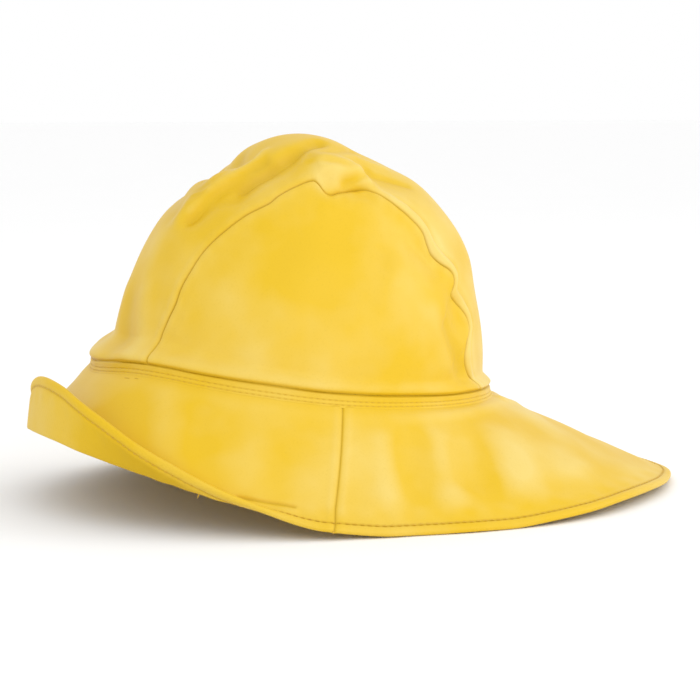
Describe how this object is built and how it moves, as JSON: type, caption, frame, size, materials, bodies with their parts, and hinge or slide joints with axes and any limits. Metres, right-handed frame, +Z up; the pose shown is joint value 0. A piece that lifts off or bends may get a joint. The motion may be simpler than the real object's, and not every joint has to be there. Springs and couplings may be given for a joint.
{
  "type": "rain hat",
  "caption": "Yellow coated-cloth sou'wester rain hat with a panelled crown, a front brim turned up as a gutter and a long back brim.",
  "frame": {"origin": "centre of the hat's footprint, on the surface that its rim rests on", "axes": "+Z up through the crown, -Y out of the front of the hat, +X to the wearer's left"},
  "size_m": [0.2698, 0.3459, 0.1843],
  "materials": {
    "coated_cloth": "satin"
  },
  "bodies": {
    "root": {"crown_left_panel": "coated_cloth", "crown_right_panel": "coated_cloth", "crown_centre_strip": "coated_cloth", "crown_band": "coated_cloth", "brim_front": "coated_cloth", "brim_back": "coated_cloth"}
  },
  "joints": []
}
